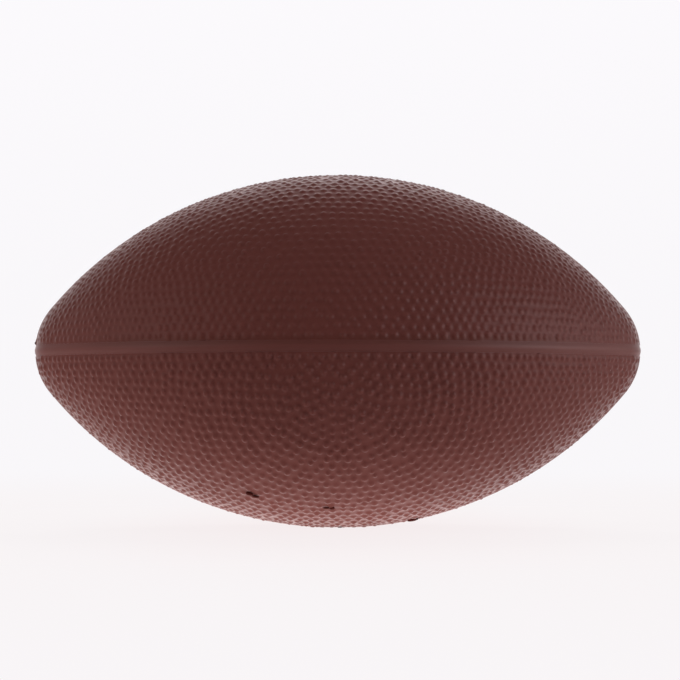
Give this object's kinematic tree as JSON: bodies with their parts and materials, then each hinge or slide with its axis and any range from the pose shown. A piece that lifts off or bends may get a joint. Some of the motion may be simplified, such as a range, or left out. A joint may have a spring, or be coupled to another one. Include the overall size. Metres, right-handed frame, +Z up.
{
  "type": "foam rugby ball",
  "caption": "Small foam rugby ball with rounded, pointed ends: a soft core inside a pebbled moulded skin with smooth raised seam ribs, lying on a small contact flat.",
  "frame": {"origin": "middle of the contact flat that the ball rests on", "axes": "+X along the long axis from tip to tip, +Z up, parting plane level"},
  "size_m": [0.1558, 0.0908, 0.0906],
  "materials": {
    "foam": "soft open-celled polyurethane foam, matte",
    "skin": "brown moulded polyurethane skin, pebbled, matte with a soft sheen",
    "bead": "brown moulded polyurethane, smooth, satin"
  },
  "bodies": {
    "root": {"foam_core": "foam", "skin_upper": "skin", "skin_lower": "skin", "parting_bead": "bead"}
  },
  "joints": []
}
